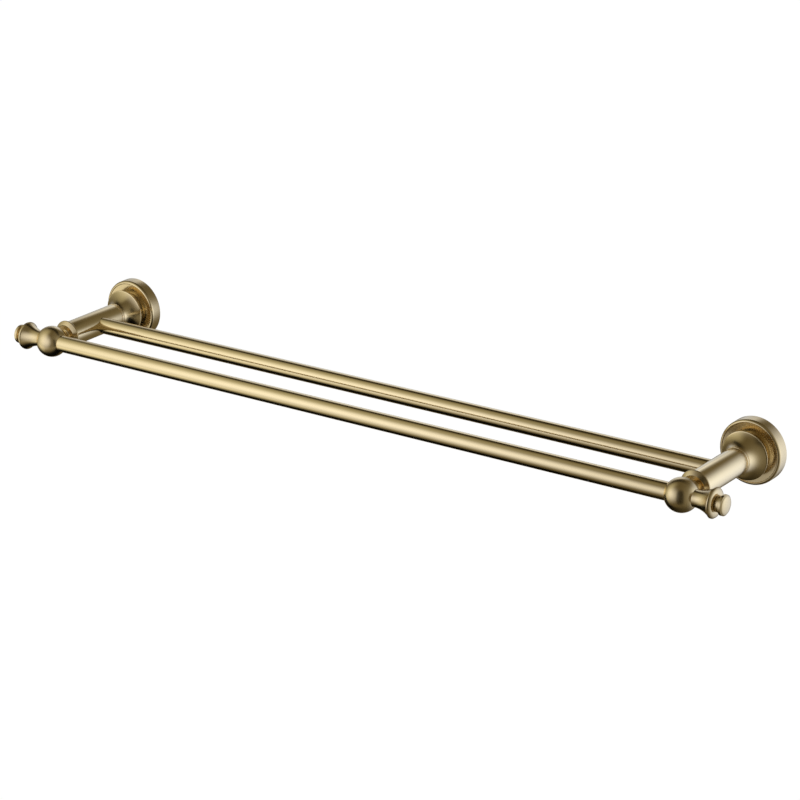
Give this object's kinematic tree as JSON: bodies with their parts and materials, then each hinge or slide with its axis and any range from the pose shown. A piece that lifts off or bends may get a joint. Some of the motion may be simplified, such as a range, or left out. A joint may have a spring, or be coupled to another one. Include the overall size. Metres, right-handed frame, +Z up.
{
  "type": "towel rack",
  "caption": "Wall-mounted double towel rack: two round bars between turned posts with round wall roses, ball ends and button finials.",
  "frame": {"origin": "on the wall plane, midway between the centres of the two wall roses", "axes": "+X along the bars to the right as seen from the room, +Y into the wall, +Z up"},
  "size_m": [0.7866, 0.14, 0.0592],
  "materials": {
    "satin_bronze": "satin bronze-gold coating with fine turning lines",
    "raw_brass": "machined",
    "zinc_steel": "zinc plated"
  },
  "bodies": {
    "wall_side": {"wall_plate_left": "zinc_steel", "wall_plate_right": "zinc_steel"},
    "rack": {"front_bar": "satin_bronze", "rear_bar": "satin_bronze", "rose_left": "satin_bronze", "bell_left": "satin_bronze", "bead_ring_left": "satin_bronze", "post_tube_left": "satin_bronze", "lip_collar_left": "satin_bronze", "ball_left": "satin_bronze", "post_bolt_left": "zinc_steel", "post_washer_left": "zinc_steel", "post_insert_left": "raw_brass", "post_stud_left": "zinc_steel", "front_bar_insert_left": "raw_brass", "rose_right": "satin_bronze", "bell_right": "satin_bronze", "bead_ring_right": "satin_bronze", "post_tube_right": "satin_bronze", "lip_collar_right": "satin_bronze", "ball_right": "satin_bronze", "post_bolt_right": "zinc_steel", "post_washer_right": "zinc_steel", "post_insert_right": "raw_brass", "post_stud_right": "zinc_steel", "front_bar_insert_right": "raw_brass"},
    "grub_screw_left": {"rose_grub_screw_left": "zinc_steel"},
    "finial_left": {"finial_left": "satin_bronze"},
    "cap_left": {"button_left": "satin_bronze", "finial_stud_left": "zinc_steel"},
    "grub_screw_right": {"rose_grub_screw_right": "zinc_steel"},
    "finial_right": {"finial_right": "satin_bronze"},
    "cap_right": {"button_right": "satin_bronze", "finial_stud_right": "zinc_steel"}
  },
  "joints": [
    {"name": "rack_pull_off", "type": "slide", "parent": "wall_side", "child": "rack", "axis": [0, -1, 0], "range_m": [0, 0.02]},
    {"name": "grub_screw_left_back_out", "type": "slide", "parent": "rack", "child": "grub_screw_left", "axis": [0, 0, -1], "range_m": [0, 0.003]},
    {"name": "finial_left_draw", "type": "slide", "parent": "rack", "child": "finial_left", "axis": [-1, 0, 0], "range_m": [0, 0.0121]},
    {"name": "cap_left_unscrew", "type": "hinge", "parent": "finial_left", "child": "cap_left", "pos_m": [-0.35, -0.125, 0], "axis": [-1, 0, 0], "range_deg": [0, 4320]},
    {"name": "grub_screw_right_back_out", "type": "slide", "parent": "rack", "child": "grub_screw_right", "axis": [0, 0, -1], "range_m": [0, 0.003]},
    {"name": "finial_right_draw", "type": "slide", "parent": "rack", "child": "finial_right", "axis": [1, 0, 0], "range_m": [0, 0.0121]},
    {"name": "cap_right_unscrew", "type": "hinge", "parent": "finial_right", "child": "cap_right", "pos_m": [0.35, -0.125, 0], "axis": [1, 0, 0], "range_deg": [0, 4320]}
  ],
  "couplings": [
    {"joint": "finial_left_draw", "follows": "cap_left_unscrew", "m_per_rad": 0.00015915},
    {"joint": "finial_right_draw", "follows": "cap_right_unscrew", "m_per_rad": 0.00015915}
  ]
}
